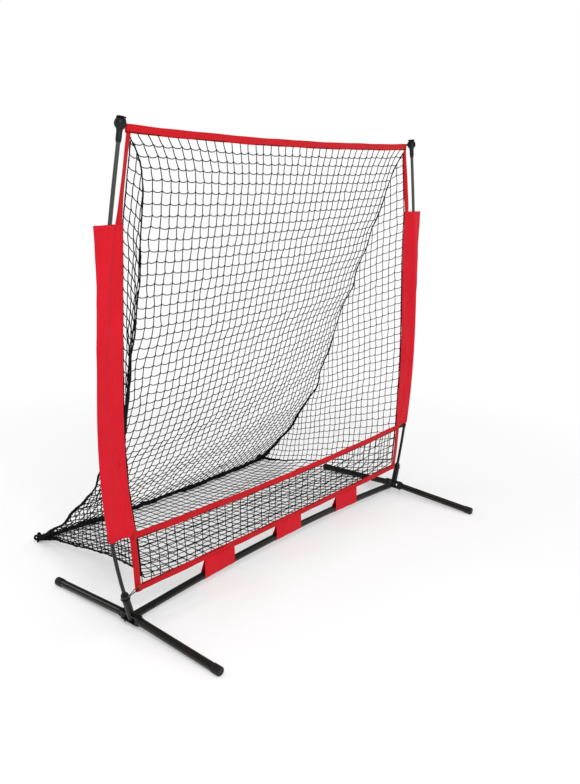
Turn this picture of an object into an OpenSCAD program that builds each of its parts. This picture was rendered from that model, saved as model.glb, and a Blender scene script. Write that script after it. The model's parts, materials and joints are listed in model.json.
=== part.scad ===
// Pitching target net: a bow frame with a drop-back catching net.
// Origin: on the ground, under the middle of the overall footprint. +X right, -Y towards the pitcher, +Z up.

/* [Overall] */
// Distance between the two hub centres
net_w = 1524; // [1372:12:1676]
// Height of the pole knobs' centre above the hub centre
pole_rise = 1483; // [1380:1:1500]
// How far the net reaches back from the frame plane
net_depth = 736; // [650:1:800]

/* [Base tubes] */
// Height of the hub centre above the ground
hub_h = 31.5; // [30:0.5:34]
// Outer diameter of the crossbar
bar_d = 25; // [24:0.2:26]
// Wall thickness of the crossbar, spigots and feet
tube_wall = 1.6; // [1.2:0.1:1.8]
// Upward slope of the crossbar where it leaves each hub, which makes the bar arch
bar_arch = 3.8; // [1:0.1:5]
// Length of the crossbar's straight run beside each hub
bar_straight = 120; // [110:5:200]
// Distance from the hub centre to the end of the crossbar tube
bar_gap = 48; // [44:1:54]
// Distance from the hub centre to the end of the spigot
spigot_l = 108; // [104:1:116]
// Length of the joiner inside the crossbar's two halves
joiner_l = 140; // [100:10:200]

/* [Folding feet] */
// Distance from the crossbar's axis to the tip of each foot
foot_reach = 396; // [350:1:440]
// Outer diameter of the foot tubes
foot_d = 26; // [25:0.5:26.5]
// Outer diameter of the moulded end caps
cap_d = 29; // [29:0.5:31]
// Length of the moulded end caps
cap_l = 31; // [28:1:40]
// Distance from the crossbar's axis to each foot's pivot bolt
pivot_y = 33; // [33:0.5:36]
// Diameter of the pivot bolts
bolt_d = 6; // [5:0.5:6]
// Radial running clearance of the pivots and the snap buttons
run_gap = 0.05; // [0.02:0.01:0.09]

/* [Sockets and poles] */
// Outward lean of the sockets
socket_lean = 15.2; // [10:0.1:16]
// Length of a socket above the hub centre, along its lean
socket_l = 88; // [80:1:96]
// Outer diameter of a socket
socket_d = 25; // [24:0.5:25.5]
// Diameter of the poles
pole_d = 12; // [11:0.5:12]
// How far the net pulls each pole's top inwards
tip_pull = 430; // [380:1:440]
// Diameter of a pole knob
knob_d = 34; // [30:1:36]

/* [Snap buttons] */
// Distance from the hub centre to a snap button
button_at = 82; // [74:1:88]
// Diameter of a snap button
button_d = 8; // [7:0.5:8]
// How far a snap button stands out of the crossbar
button_out = 4; // [3:0.5:4]

/* [Fabric] */
// Width of a flattened pole sleeve, which also covers the net's side band
sleeve_w = 97; // [92:1:105]
// Height above the ground of the sleeves' lower ends
sleeve_z0 = 312; // [305:1:340]
// Height above the ground of the sleeves' upper ends
sleeve_z1 = 1248; // [1150:1:1260]
// Height of the woven bands
band_h = 24; // [20:1:26]
// Half the length of the top band
top_half = 720; // [710:1:722]
// Height of the top band's ends above the ground
top_z = 1504; // [1490:1:1506]
// Height of the pocket lip's ends above the ground
lip_z = 307; // [300:1:320]
// Height of the bottom band above the ground
low_z = 126; // [120:1:132]
// Sag of the top band and of the pocket lip
band_sag = 14; // [5:1:20]
// Width of the crossbar tabs
tab_w = 147; // [120:1:160]
// Distance between the crossbar tabs
tab_pitch = 375; // [340:1:400]

/* [Hidden] */
$fn = 64;
half_w = net_w / 2;
// Shift that puts the footprint's middle at the origin
frame_y = -(net_depth - foot_reach) / 2;

plate_t = 3;
plate_w = 26;
knuckle_h = 20;
knuckle_d = 24;
plate_gap = 0.5;
plate_z = knuckle_h / 2 + plate_gap;
plate_top = plate_z + plate_t;
spigot_d = bar_d - 2 * tube_wall - 0.5;
liner_d = socket_d - 2 * tube_wall;
fit_gap = 0.2;
pole_foot = -12;
bow_start = socket_l * cos(socket_lean);
knob_reach = 17;
ball_r = knob_d / 2;
crown_neck_d = 20;
bow_len = pole_rise - bow_start + knob_reach;
pole_mid = pole_rise / 2;
cap_sink = 0.6;
foot_arm = 15;
knuckle_grip = 45;
foot_drop = atan((hub_h - cap_d / 2 + cap_sink) / (foot_reach - pivot_y - cap_l / 2));
foot_l = (foot_reach - pivot_y) / cos(foot_drop);
net_t = 1.2;
band_t = 2.4;
band_z = band_h / 2;
seam_d = 4.4;
heavy_seam_d = 14;
rear_z = heavy_seam_d / 2 + 3;
rear_sag = 35;
net_clear = 6;
cord_d = 3;
cloth_t = 1.2;
sleeve_in = 8;
shoulder_d = bar_d + 0.6;

// How far the net's edge stands behind the poles' plane, at each height: the net draws it back at the top
// and the elastic cords draw it forwards at the bottom
edge_depth = [[low_z, -9], [sleeve_z0, -9], [450, 0], [1050, 11], [top_z, 9]];
function edge_y(z) = lookup(z, edge_depth);

// ---------- helpers ----------

function unit(v) = v / norm(v);
function mix(a, b, t) = a + (b - a) * t;
// Points along a path, evenly spread between two values of its parameter
function steps(n) = [for (i = [0:n]) i / n];
function tangent(p, i) = unit(p[min(i + 1, len(p) - 1)] - p[max(i - 1, 0)]);

// Corners of a round section at point i of a path; up is any direction well off the path
function round_ring(p, i, up, r, sides) =
    let (t = tangent(p, i), a = unit(cross(t, up)), b = cross(a, t))
    [for (k = [0:sides - 1]) p[i] + r * (cos(360 * k / sides) * a - sin(360 * k / sides) * b)];

// Two triangles of a four-cornered face, cut along its first or its second diagonal
function halves(q, first) =
    first ? [[q[0], q[1], q[2]], [q[0], q[2], q[3]]] : [[q[0], q[1], q[3]], [q[1], q[2], q[3]]];

// Solid through a list of closed rings that all run anticlockwise, seen from the far end, with an even number
// of points. The ring's second half mirrors its first, so both faces of a thin sheet are cut the same way.
module loft(rings) {
    n = len(rings[0]);
    last = (len(rings) - 1) * n;
    half = n / 2;
    sides = [for (r = [0:len(rings) - 2], k = [0:n - 1])
        each halves([r * n + k, (r + 1) * n + k, (r + 1) * n + (k + 1) % n, r * n + (k + 1) % n], k < half)];
    near = [for (k = [0:half - 2]) each halves([k, k + 1, n - 2 - k, n - 1 - k], true)];
    far = [for (q = near) [last + q[2], last + q[1], last + q[0]]];
    polyhedron(points = [for (r = rings) each r], faces = concat(sides, near, far), convexity = 6);
}

// Round rod along a path
module rod(path, d, up, sides = 12) {
    loft([for (i = [0:len(path) - 1]) round_ring(path, i, up, d / 2, sides)]);
}

// Flat strip along a path, across wide and thick deep, both given as half vectors
module strip(path, across, thick) {
    loft([for (p = path) [p - across - thick, p - across + thick, p + across + thick, p + across - thick]]);
}

// Thin sheet through rows of points, made thick along one direction
module sheet(rows, thick) {
    loft([for (row = rows) concat(row, [for (k = [len(row) - 1:-1:0]) row[k] + thick])]);
}

// Everything is modelled with the crossbar's axis over y = 0, then moved to the part's frame
module placed(side = 1) {
    translate([0, frame_y, 0])
        mirror([side < 0 ? 1 : 0, 0, 0])
            children();
}

module at_hub() {
    translate([half_w, 0, hub_h]) children();
}

module steel() { color([0.10, 0.10, 0.09]) children(); }
module zinc() { color([0.45, 0.45, 0.46]) children(); }
module plastic() { color([0.14, 0.15, 0.15]) children(); }
module glassfibre() { color([0.27, 0.28, 0.28]) children(); }
module red_cloth() { color([0.80, 0.08, 0.13]) children(); }
module black_cord() { color([0.05, 0.05, 0.05]) children(); }
module netting() { color([0.08, 0.08, 0.08]) children(); }

// ---------- centre lines ----------

// Inward bend of a pole at height s above the hub: a beam fixed in its socket and pulled at its tip
function bend(s) =
    let (u = max(s - bow_start, 0))
    tip_pull * (3 * bow_len * u * u - u * u * u) / (2 * bow_len * bow_len * bow_len);
function pole_x(s) = half_w + tan(socket_lean) * s - bend(s);
function pole_at(s) = [pole_x(s), 0, hub_h + s];
function pole_path(s0, s1, n) = [for (t = steps(n)) pole_at(mix(s0, s1, t))];
function pole_tilt(s) = atan((pole_x(s + 1) - pole_x(s - 1)) / 2);
function knob_tilt() = pole_tilt(pole_rise - knob_reach);

// Crossbar: straight beside the hub, then one arc across the middle
arc_half = half_w - bar_straight * cos(bar_arch);
arc_r = arc_half / sin(bar_arch);
arc_top = hub_h + bar_straight * sin(bar_arch) + arc_r * (1 - cos(bar_arch));
function bar_z(x) =
    x > arc_half ? hub_h + (half_w - x) * tan(bar_arch) : arc_top - arc_r + sqrt(arc_r * arc_r - x * x);
function bar_at(x) = [x, 0, bar_z(x)];

// Sleeve: hugs the pole on its outer edge, swings outwards above the middle and widens a little there
sleeve_edge = 10;
sleeve_flare = 45;
sleeve_widening = 10;
sleeve_bend_z = 766;
function sleeve_swing(z) = pow(max(z - sleeve_bend_z, 0) / (sleeve_z1 - sleeve_bend_z), 2);
function sleeve_out(z) = pole_x(z - hub_h) + sleeve_edge + sleeve_flare * sleeve_swing(z);
function sleeve_inner(z) = sleeve_out(z) - sleeve_w - sleeve_widening * sleeve_swing(z);

// Side band: inside the sleeve's inner edge, drawn in above the sleeve and straight down below it
side_gap = 1;
side_w = 24;
side_top_w = 15;
side_in = side_w / 2 + side_gap;
side_seat = cloth_t + side_in;
side_top_x = 706;
side_low_x = 737;
side_low_z = 116;
function seated_x(z) = sleeve_inner(z) + side_seat;
function side_x(z) =
    z > sleeve_z1 ? mix(seated_x(sleeve_z1), side_top_x, (z - sleeve_z1) / (top_z - sleeve_z1)) :
    z > sleeve_z0 ? seated_x(z) :
    mix(side_low_x, seated_x(sleeve_z0), (z - side_low_z) / (sleeve_z0 - side_low_z));
function side_half(z) = mix(side_w, side_top_w, max(z - sleeve_z1, 0) / (top_z - sleeve_z1)) / 2;

function sagged(x, half, z) = z - band_sag * (1 - pow(x / half, 2));

// The net's rear edges. Each hang gives the straight share of the curve, its steepness, the ground corner's x
// and reach, how far the net draws the edge in below the top corner, and how far it bulges in further there
hang_left = [0.25, 4.5, 620, net_depth, 62, 11];
hang_right = [0.75, 6, 650, net_depth - 26, 42, 0];
draw_in_share = 0.05;
bulge_at = 0.12;
seam_top_x = side_top_x + 4;
net_top_z = top_z - band_z;
function drawn_in(t, hang) =
    hang[4] * (1 - exp(-t / draw_in_share)) + hang[5] * pow(t / bulge_at * exp(1 - t / bulge_at), 3);
function seam_at(t, hang) =
    [seam_top_x - drawn_in(t, hang) - (seam_top_x - hang[4] - hang[2]) * pow(t, 6),
     mix(edge_y(net_top_z), hang[3], hang[0] * t + (1 - hang[0]) * pow(t, hang[1])),
     mix(net_top_z, rear_z, t)];
function flip(p) = [-p[0], p[1], p[2]];

// Front edge of a side panel, from the top corner down to a point a little above the bottom band
edge_gap = 4;
corner_lift = 40;
low_half = side_x(low_z - band_z) - side_in;
function front_at(t) =
    let (z = mix(net_top_z, low_z + corner_lift, t))
    [side_x(z) - side_half(z) - edge_gap, edge_y(z), z];

// Side panel between its front edge and the rear edge; the lower edge is drawn inwards
floor_tuck = 45;
function tuck(u) = [-floor_tuck * pow(4 * u * (1 - u), 0.6), 0, 12 * u * (1 - u)];
function side_at(t, u, hang) = mix(front_at(t), seam_at(t, hang), u) + pow(t, 4) * tuck(u);

// Back panel between the two rear edges; its lower edge is drawn forwards
function back_at(t, w) =
    let (p = mix(flip(seam_at(t, hang_left)), seam_at(t, hang_right), w), belly = 4 * w * (1 - w))
    p - [0, rear_sag * belly * t * t, band_sag * belly * (1 - t)];

// Floor panel: a surface through the bottom band, both tucked edges and the rear edge. Its front edge lifts
// off the band only beside its corners.
function floor_side(u, w) = mix(flip(side_at(1, u, hang_left)), side_at(1, u, hang_right), w);
function band_at(w) =
    let (across = mix(-1, 1, w))
    [across * front_at(1)[0], edge_y(low_z), low_z + corner_lift * pow(abs(across), 10)];
function floor_at(u, w) =
    floor_side(u, w)
    + (1 - u) * (band_at(w) - floor_side(0, w))
    + u * (back_at(1, w) - floor_side(1, w));

// ---------- base ----------

module ring(d) {
    difference() {
        circle(d = d);
        circle(d = d - 2 * tube_wall);
    }
}

// Half of the crossbar, for x > 0: a tube swept from the middle to its open end beside the hub
module crossbar_half() {
    middle_gap = 0.25;
    past_end = 4;
    sides = 48;
    end_x = half_w - bar_gap * cos(bar_arch);
    bore = bar_d - 2 * tube_wall;
    arc = [for (t = steps(10)) if (t > 0) bar_at(mix(middle_gap, arc_half, t))];
    difference() {
        rod(concat([bar_at(middle_gap)], arc, [bar_at(end_x)]), bar_d, [0, 1, 0], sides);
        rod(concat([bar_at(-past_end)], arc, [bar_at(end_x + past_end)]), bore, [0, 1, 0], sides);
        button_hole();
    }
}

function button_place() = [half_w - button_at * cos(bar_arch), 0, hub_h + button_at * sin(bar_arch)];

module button_hole() {
    translate(button_place())
        rotate([90, 0, 0])
            cylinder(h = bar_d, d = button_d + 2 * run_gap);
}

// Straight, so it sits slightly below the top of the arch
module crossbar_joiner() {
    joiner_drop = 0.15;
    steel() placed()
        translate([-joiner_l / 2, 0, arc_top - joiner_drop])
            rotate([0, 90, 0])
                linear_extrude(joiner_l) ring(spigot_d);
}

// Yoke plates, leaning socket and spigot, welded together
module hub() {
    bore_from = socket_d / 2 + 3;
    difference() {
        union() {
            at_hub() {
                for (z = [-plate_top, plate_z])
                    translate([0, 0, z]) yoke_plate();
                rotate([0, socket_lean, 0])
                    translate([0, 0, -plate_top])
                        cylinder(h = socket_l + plate_top, d = socket_d);
                rotate([0, bar_arch - 90, 0]) {
                    cylinder(h = spigot_l, d = spigot_d);
                    cylinder(h = bar_gap - side_gap, d = shoulder_d);
                }
            }
        }
        at_hub() {
            rotate([0, socket_lean, 0])
                translate([0, 0, pole_foot])
                    cylinder(h = socket_l + plate_top, d = liner_d);
            rotate([0, bar_arch - 90, 0])
                translate([0, 0, bore_from])
                    cylinder(h = spigot_l, d = spigot_d - 2 * tube_wall);
            for (y = [-pivot_y, pivot_y])
                translate([0, y, -hub_h])
                    cylinder(h = 2 * hub_h, d = bolt_d + 2 * fit_gap);
            translate([-plate_w, -plate_w, -hub_h])
                cube([2 * plate_w, 2 * plate_w, hub_h - plate_top]);
        }
        button_hole();
    }
}

module yoke_plate() {
    translate([-plate_w / 2, -pivot_y, 0]) cube([plate_w, 2 * pivot_y, plate_t]);
    for (y = [-pivot_y, pivot_y])
        translate([0, y, 0]) cylinder(h = plate_t, d = plate_w);
}

// Moulded liner that grips the pole, with a rim and a neck on top of the socket
module socket_liner() {
    rim_h = 3;
    rim_d = socket_d + 1;
    neck_h = 9;
    neck_d = 18;
    at_hub() rotate([0, socket_lean, 0])
        difference() {
            union() {
                translate([0, 0, pole_foot + fit_gap])
                    cylinder(h = socket_l - pole_foot - fit_gap, d = liner_d - fit_gap);
                translate([0, 0, socket_l + fit_gap / 2]) {
                    cylinder(h = rim_h, d1 = rim_d, d2 = rim_d - 2);
                    cylinder(h = neck_h, d1 = neck_d + 1, d2 = neck_d);
                }
            }
            translate([0, 0, pole_foot])
                cylinder(h = socket_l - pole_foot + 2 * neck_h, d = pole_d + 2 * fit_gap);
        }
}

// ---------- pivots and feet ----------

module at_pivots(ends = [-1, 1]) {
    for (side = [-1, 1], end = ends)
        translate([side * half_w, frame_y + end * pivot_y, hub_h]) children();
}

washer_t = 1;
washer_d = 13;
head_h = 3;
hex_d = 11;
nut_h = 4;
bolt_end_gap = 3;

// Bolts of one end, with their heads on top and their threaded ends reaching down to low
module bolt_pair(end, low) {
    at_pivots([end]) {
        translate([0, 0, low]) cylinder(h = plate_top + washer_t - low + 0.5, d = bolt_d);
        translate([0, 0, plate_top + washer_t]) cylinder(h = head_h, d = hex_d, $fn = 6);
    }
}

// The rear bolts are longer than the front ones and end close to the ground
module pivot_bolts() {
    steel() {
        bolt_pair(-1, 1 - bolt_end_gap - plate_top - washer_t - nut_h);
        bolt_pair(1, bolt_end_gap - hub_h);
    }
}

module pivot_washers() {
    zinc() at_pivots()
        for (z = [plate_top, -plate_top - washer_t])
            translate([0, 0, z])
                difference() {
                    cylinder(h = washer_t, d = washer_d);
                    translate([0, 0, -1]) cylinder(h = washer_t + 2, d = bolt_d + 2 * fit_gap);
                }
}

module pivot_nuts() {
    zinc() at_pivots()
        translate([0, 0, -plate_top - washer_t - nut_h])
            difference() {
                cylinder(h = nut_h, d = hex_d, $fn = 6);
                translate([0, 0, -1]) cylinder(h = nut_h + 2, d = bolt_d);
            }
}

// Puts a foot part, built along +Z from its pivot, at one of the four corners
module foot_place(side, end) {
    placed(side) at_hub()
        mirror([0, end < 0 ? 1 : 0, 0])
            translate([0, pivot_y, 0])
                rotate([-90 - foot_drop, 0, 0])
                    children();
}

// Flat tongue between the yoke plates, with a round spigot inside the foot tube
module knuckle(side, end) {
    spigot_from = foot_arm - 1;
    tongue_w = knuckle_d - 2;
    tongue_t = knuckle_h - 1.4;
    plastic() difference() {
        union() {
            placed(side) at_hub()
                translate([0, end * pivot_y, -knuckle_h / 2])
                    cylinder(h = knuckle_h, d = knuckle_d);
            foot_place(side, end) {
                translate([-tongue_w / 2, -tongue_t / 2, 0])
                    cube([tongue_w, tongue_t, foot_arm]);
                translate([0, 0, spigot_from])
                    cylinder(h = knuckle_grip + 1, d = foot_d - 2 * tube_wall - fit_gap);
            }
        }
        placed(side) at_hub()
            translate([0, end * pivot_y, -knuckle_h])
                cylinder(h = 2 * knuckle_h, d = bolt_d + 2 * run_gap);
    }
}

cap_floor_t = 4;
module foot_tube(side, end) {
    steel() foot_place(side, end)
        translate([0, 0, foot_arm])
            linear_extrude(foot_l - foot_arm - cap_floor_t - 1) ring(foot_d);
}

module foot_cap(side, end) {
    round_r = 4;
    plastic() intersection() {
        foot_place(side, end)
            translate([0, 0, foot_l - cap_l])
                rotate_extrude()
                    difference() {
                        union() {
                            square([cap_d / 2, cap_l - round_r]);
                            square([cap_d / 2 - round_r, cap_l]);
                            translate([cap_d / 2 - round_r, cap_l - round_r])
                                intersection() {
                                    circle(r = round_r);
                                    square(round_r);
                                }
                        }
                        translate([0, -1]) square([foot_d / 2 + fit_gap / 2, cap_l - cap_floor_t + 1]);
                    }
        translate([-net_w, -net_w, 0]) cube([2 * net_w, 2 * net_w, hub_h * 2]);
    }
}

// ---------- snap buttons ----------

// Domed button on a flange, riveted to the moving leaf of its spring
spring_t = 0.6;
spring_w = 6;
spring_past = 4;
button_seat = 4.7;
module snap_button(side) {
    tip = bar_d / 2 + button_out;
    dome_r = 5.5;
    dome_h = 3;
    flange_d = 11;
    flange_h = 1.8;
    leaf_l = 26;
    zinc() placed(side) translate(button_place())
        rotate([90, 0, 0]) {
            intersection() {
                translate([0, 0, button_seat]) cylinder(h = tip - button_seat, d = button_d);
                translate([0, 0, tip - dome_r]) sphere(r = dome_r + 0.001);
            }
            translate([0, 0, button_seat]) cylinder(h = tip - button_seat - dome_h, d = button_d);
            translate([0, 0, button_seat]) cylinder(h = flange_h, d = flange_d);
            rotate([0, 0, -bar_arch])
                translate([spring_past - leaf_l, -spring_w / 2, button_seat - spring_t])
                    cube([leaf_l, spring_w, spring_t]);
        }
}

// The spring's fixed leg lies on the tube's far wall, with its bend reaching back towards the button
module button_springs() {
    leg_y = 7.2;
    bend_y = 2.6;
    leg_l = 30;
    zinc() for (side = [-1, 1])
        placed(side) translate(button_place())
            rotate([90, 0, 0])
                rotate([0, 0, -bar_arch])
                    translate([-leg_l, -spring_w / 2, 0]) {
                        translate([0, 0, -leg_y]) cube([leg_l + spring_past, spring_w, spring_t]);
                        translate([0, 0, -leg_y]) cube([spring_t, spring_w, leg_y - bend_y]);
                    }
}

// ---------- poles ----------

pole_top = pole_rise - 3;
pole_sides = 24;
butt_gap = 0.3;
module pole_lower(side) {
    bow = pole_path(bow_start, pole_mid - butt_gap, 14);
    steel() placed(side)
        rod(concat([pole_at(pole_foot + 1)], bow), pole_d, [0, 1, 0], pole_sides);
}

module pole_upper(side) {
    glassfibre() placed(side)
        rod(pole_path(pole_mid + butt_gap, pole_top, 14), pole_d, [0, 1, 0], pole_sides);
}

// Sleeve that joins the two pole halves
module pole_ferrules() {
    grip = 50;
    past = grip + 2;
    wall = 0.8;
    bore = pole_d + 0.6;
    zinc() for (side = [-1, 1])
        placed(side)
            difference() {
                rod(pole_path(pole_mid - grip, pole_mid + grip, 4), bore + 2 * wall, [0, 1, 0], pole_sides);
                rod(pole_path(pole_mid - past, pole_mid + past, 4), bore, [0, 1, 0], pole_sides);
            }
}

// Ribbed ball with a flanged crown, on a collar that takes the pole's top
module pole_knob(side) {
    crown_z = ball_r + 2;
    crown_d = 23;
    crown_t = 2.4;
    collar_z = ball_r + 33;
    collar_d = 17;
    neck_z = ball_r + 3;
    neck_d = 21;
    neck_h = 8;
    foot_d = pole_d + 2 * fit_gap + 1.6;
    foot_h = 10;
    groove_d = 1.6;
    groove_pitch = 7;
    plastic() placed(side)
        translate(pole_at(pole_rise))
            rotate([0, knob_tilt(), 0])
                difference() {
                    union() {
                        sphere(r = ball_r);
                        cylinder(h = crown_z, d = crown_neck_d);
                        translate([0, 0, crown_z - crown_t]) cylinder(h = crown_t, d = crown_d);
                        translate([0, 0, -neck_z]) cylinder(h = neck_h, d1 = collar_d, d2 = neck_d);
                        translate([0, 0, foot_h - collar_z]) cylinder(h = collar_z - foot_h, d = collar_d);
                        translate([0, 0, -collar_z]) cylinder(h = foot_h, d1 = foot_d, d2 = collar_d);
                    }
                    for (z = [-groove_pitch, 0, groove_pitch])
                        rotate_extrude()
                            translate([sqrt(ball_r * ball_r - z * z), z]) circle(d = groove_d, $fn = 16);
                    translate([0, 0, -collar_z - 1]) cylinder(h = collar_z + 1, d = pole_d + 2 * fit_gap);
                }
}

// ---------- fabric ----------

// Points of a half-round end of a flat loop, at height z round the point c; the flats lie at radius r
function loop_end(c, r, angles, z) = [for (a = angles) [c[0], c[1], z] + r / cos(15) * [cos(a), sin(a), 0]];

// Flat tube round the pole: its inner edge is set back with the net, and it turns level before the pole
function sleeve_ring(z, half_t, grow) =
    let (
        inner = [sleeve_inner(z) + half_t - grow, edge_y(z)],
        outer = [sleeve_out(z) - half_t + grow, 0],
        level_x = pole_x(z - hub_h) - pole_d)
    concat(
        loop_end(inner, half_t, [195:30:255], z), [[level_x, -half_t, z]],
        loop_end(outer, half_t, [-75:30:75], z), [[level_x, half_t, z]],
        loop_end(inner, half_t, [105:30:165], z));

sleeve_heights = [for (t = steps(12)) mix(sleeve_z0, sleeve_z1, t)];
low_sag = 4;

module sleeve(side) {
    outer = sleeve_in + cloth_t;
    heights = concat([sleeve_z0 - 1], sleeve_heights, [sleeve_z1 + 1]);
    red_cloth() placed(side)
        difference() {
            loft([for (z = sleeve_heights) sleeve_ring(z, outer, 0)]);
            loft([for (z = heights) sleeve_ring(z, sleeve_in, -cloth_t)]);
        }
}

module level_band(half, z, sag) {
    y = edge_y(z);
    path = [for (t = steps(12)) let (x = mix(-half, half, t)) [x, y, z - sag * (1 - pow(x / half, 2))]];
    red_cloth() placed() strip(path, [0, 0, band_h / 2], [0, band_t / 2, 0]);
}

module top_band() { level_band(top_half, top_z, band_sag); }
module pocket_lip() { level_band(side_x(lip_z - band_z) - side_in - 1, lip_z, band_sag); }
module bottom_band() { level_band(low_half, low_z, low_sag); }

eyelet_z = 131;
eyelet_d = 12;
eyelet_rim = 0.7;
module side_band(side) {
    top = top_z - band_z - 1;
    heights = concat([side_low_z], sleeve_heights, [top]);
    red_cloth() placed(side)
        difference() {
            loft([for (z = heights)
                let (x = side_x(z), w = side_half(z), y = edge_y(z), d = band_t / 2)
                [[x - w, y - d, z], [x + w, y - d, z], [x + w, y + d, z], [x - w, y + d, z]]]);
            translate([side_x(eyelet_z), edge_y(eyelet_z), eyelet_z])
                rotate([90, 0, 0]) cylinder(h = 4 * band_t, d = eyelet_d + fit_gap, center = true);
        }
}

module corner_eyelets() {
    color([0.55, 0.42, 0.22]) for (side = [-1, 1])
        placed(side)
            translate([side_x(eyelet_z), edge_y(eyelet_z), eyelet_z])
                rotate([90, 0, 0])
                    difference() {
                        cylinder(h = band_t + 2 * eyelet_rim, d = eyelet_d, center = true);
                        cylinder(h = 4 * band_t, d = eyelet_d / 2, center = true);
                    }
}

// Loop of fabric round the crossbar, hanging from the bottom band and slanting back to the bar
module tab(x) {
    r = bar_d / 2 + 0.6;
    top = low_z - low_sag - band_z - 0.4;
    z = bar_z(abs(x) + tab_w / 2);
    lift = bar_z(abs(x) < tab_w ? 0 : abs(x) - tab_w / 2) - z;
    rise = top - z - lift / 2;
    lean = edge_y(low_z);
    cloth = [[-cloth_t, 0], [cloth_t, 0], [lean + cloth_t, rise], [lean - cloth_t, rise]];
    red_cloth() placed()
        translate([x - tab_w / 2, 0, z + lift / 2])
            rotate([90, 0, 90])
                linear_extrude(tab_w)
                    difference() {
                        union() {
                            circle(r = r + lift / 2 + cloth_t);
                            polygon(cloth);
                        }
                        circle(r = r + lift / 2);
                    }
}

// Webbing loop from the side band round the pole, starting at height z and leaning with the pole
strap_h = 20;
module lip_strap(side, z) {
    strap_t = 1;
    black_cord() placed(side)
        difference() {
            loft([for (h = [z, z + strap_h]) strap_ring(z, h, strap_t)]);
            loft([for (h = [z - 1, z + strap_h + 1]) strap_ring(z, h, 0)]);
        }
}

function strap_ring(z, h, grow) =
    let (
        fold_r = 0.8,
        slack = 0.4,
        start = [max(side_x(z), side_x(z + strap_h)) + side_in + 2, edge_y(z) * 0.7],
        end = [pole_x(h - hub_h), 0])
    concat(
        loop_end(start, fold_r + grow, [195:30:255], h),
        loop_end(end, pole_d / 2 + slack + grow, [-105:30:105], h),
        loop_end(start, fold_r + grow, [105:30:165], h));

cord_sides = 10;
module cord_ring(inner_d) {
    rotate_extrude($fn = 48)
        translate([inner_d / 2 + cord_d / 2, 0]) circle(d = cord_d, $fn = 16);
}

// Point of the pole knob's own frame: x outwards and z up from the ball's centre
function on_knob(x, z) = pole_at(pole_rise)
    + [x * cos(knob_tilt()) + z * sin(knob_tilt()), 0, z * cos(knob_tilt()) - x * sin(knob_tilt())];

// Elastic loop round the neck of the knob's crown, hooked to the top corner of the net
module top_loop(side) {
    ring_d = crown_neck_d + 0.6;
    ring_r = (ring_d + cord_d) / 2;
    clear_r = ball_r + cord_d / 2 + 0.2;
    loop_z = sqrt(clear_r * clear_r - ring_r * ring_r);
    bight = on_knob(-clear_r - 1, clear_r / 2);
    hook = [top_half + 3, edge_y(top_z), top_z];
    black_cord() placed(side) {
        translate(on_knob(0, loop_z))
            rotate([0, knob_tilt(), 0]) cord_ring(ring_d);
        rod([on_knob(-ring_r, loop_z), bight, hook], cord_d, [0, 1, 0], cord_sides);
    }
}

// Elastic cord through the corner eyelet, looped round the socket
module bottom_cord(side) {
    grip = 76;
    ring_d = socket_d + 0.6;
    side_step = [-ring_d / 2, 0, 2];
    hole = [side_x(eyelet_z), edge_y(eyelet_z), eyelet_z];
    foot = [half_w + grip * sin(socket_lean), 0, hub_h + grip * cos(socket_lean)] + side_step;
    off = [0, 4.6, 0];
    front_off = [0, 8, 0];
    turn = [3, 0, -3];
    face = [0, 3.4, 0];
    lie = [0.6, 0, 0.8];
    black_cord() placed(side) {
        at_hub() rotate([0, socket_lean, 0]) translate([0, 0, grip]) cord_ring(ring_d);
        rod([foot - front_off, hole + turn - off, hole - face, hole + face, hole + turn + off, foot + off],
            cord_d - 0.4, lie, cord_sides);
    }
}

// ---------- netting ----------

// Shares of the way down at which the panels and their ropes are drawn, so that they turn together
high_drops = [0.02, 0.045, 0.07];
drops = [for (t = [0.1:0.06:0.95]) t];
low_end = 0.993;

module net_back() {
    columns = 12;
    edge = 0.005;
    high_end = 0.003;
    rows = concat([high_end], high_drops, drops, [low_end]);
    netting() placed()
        sheet([for (i = [len(rows) - 1:-1:0]) [for (k = steps(columns))
            back_at(rows[i], mix(edge, 1 - edge, k))]], [0, net_t, 0]);
}

// The panel starts below the corner, where it is wide enough to stand clear of the band and the rope
module net_side(side, hang) {
    columns = 5;
    netting() placed(side)
        sheet([for (t = concat(drops, [low_end])) [for (k = steps(columns))
            let (reach = seam_at(t, hang)[1])
            side_at(t, mix(net_clear / reach, 1 - net_clear / reach, k), hang)]], [net_t, 0, 0]);
}

module net_floor() {
    rows = 8;
    columns = 12;
    edge = 0.007;
    netting() placed()
        sheet([for (i = steps(rows)) [for (k = steps(columns))
            floor_at(mix(0.985, 0.012, i), mix(edge, 1 - edge, k))]], [0, 0, net_t]);
}

module net_front() {
    half = low_half - 2 * net_clear;
    columns = 10;
    low = low_z + band_z + 1;
    y = edge_y(low_z);
    netting() placed()
        sheet([for (z = [0, 1]) [for (k = steps(columns))
            let (x = mix(-half, half, k), high = sagged(x, low_half, lip_z) - band_z - 1)
            [x, y, mix(low, high, z)]]], [0, net_t, 0]);
}

module side_seam(side, hang) {
    netting() placed(side)
        rod([for (t = concat(high_drops, drops, [0.985])) seam_at(t, hang)], seam_d, [1, 0, 0], 8);
}

module floor_seam(side, hang) {
    netting() placed(side)
        rod([for (u = steps(12)) side_at(1, mix(0.012, 0.97, u), hang)], seam_d, [0, 0, 1], 8);
}

module rear_seam() {
    netting() placed()
        rod([for (w = steps(16)) back_at(1, mix(0.006, 0.994, w))], heavy_seam_d, [0, 0, 1], 10);
}

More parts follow.
